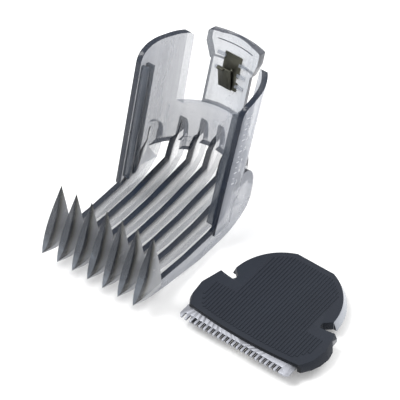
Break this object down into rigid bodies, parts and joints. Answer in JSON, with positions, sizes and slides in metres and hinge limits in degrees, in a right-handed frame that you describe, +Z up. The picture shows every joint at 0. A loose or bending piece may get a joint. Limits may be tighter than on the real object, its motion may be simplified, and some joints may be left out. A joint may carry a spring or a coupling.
{
  "type": "hair clipper length comb and cutter head",
  "caption": "Guide comb of a hair clipper with curved arms and a click tongue, beside the clipper's detachable T-shaped cutter head.",
  "frame": {"origin": "centre of the bounding box on the surface that the comb's heel and the cutter head rest on", "axes": "+X to the right along the cutting edge, from the comb to the cutter head; +Y from the comb's tips and the blade's edge to the back; +Z up"},
  "size_m": [0.0968, 0.0786, 0.0505],
  "materials": {
    "comb_plastic": "smooth translucent smoke grey",
    "clear_plastic": "smooth and clear",
    "dark_spring_steel": "blackened spring steel",
    "cover_plastic": "matte, fine straight grooves on top",
    "base_plastic": "matte",
    "blade_steel": "ground steel",
    "screw_steel": "zinc plated",
    "spring_steel": "bright spring steel",
    "driver_plastic": "off-white acetal",
    "insert_plastic": "tan wear insert"
  },
  "bodies": {
    "comb": {"back_wall": "comb_plastic", "left_arm": "comb_plastic", "right_arm": "comb_plastic", "left_rail": "comb_plastic", "right_rail": "comb_plastic", "gate_tab": "comb_plastic", "comb_tooth_1": "comb_plastic", "comb_tooth_2": "comb_plastic", "comb_tooth_3": "comb_plastic", "comb_tooth_4": "comb_plastic", "comb_tooth_5": "comb_plastic", "comb_tooth_6": "comb_plastic", "comb_tooth_7": "comb_plastic"},
    "tongue": {"click_tongue": "clear_plastic", "thumb_pad": "clear_plastic", "spring_pegs": "clear_plastic", "spring_plate": "dark_spring_steel"},
    "leaf": {"detent_leaf": "dark_spring_steel"},
    "head": {"head_cover": "cover_plastic", "head_base": "base_plastic", "guard_blade": "blade_steel", "guard_blade_screws": "screw_steel", "pressure_spring": "spring_steel", "spring_retainer": "base_plastic", "spring_screw": "screw_steel"},
    "cutter": {"cutter_blade": "blade_steel", "blade_driver": "driver_plastic", "drive_insert": "insert_plastic"},
    "latch": {"tail_latch": "base_plastic"}
  },
  "joints": [
    {"name": "tongue_flex", "type": "hinge", "parent": "comb", "child": "tongue", "pos_m": [-0.02747, 0.03082, 0.0256], "axis": [-1, 0, 0], "range_deg": [0, 5], "stiffness_Nm_per_rad": 0.6},
    {"name": "leaf_flex", "type": "hinge", "parent": "tongue", "child": "leaf", "pos_m": [-0.02827, 0.03077, 0.03352], "axis": [-1, 0, 0], "range_deg": [0, 10], "stiffness_Nm_per_rad": 0.01},
    {"name": "head_lift", "type": "slide", "parent": "comb", "child": "head", "axis": [0, 0, 1], "range_m": [0, 0.08]},
    {"name": "cutter_stroke", "type": "slide", "parent": "head", "child": "cutter", "axis": [1, 0, 0], "range_m": [-0.0011, 0.0011]},
    {"name": "latch_flex", "type": "hinge", "parent": "head", "child": "latch", "pos_m": [0.02393, -0.00813, 0.0023], "axis": [1, 0, 0], "range_deg": [0, 4], "stiffness_Nm_per_rad": 0.1}
  ]
}
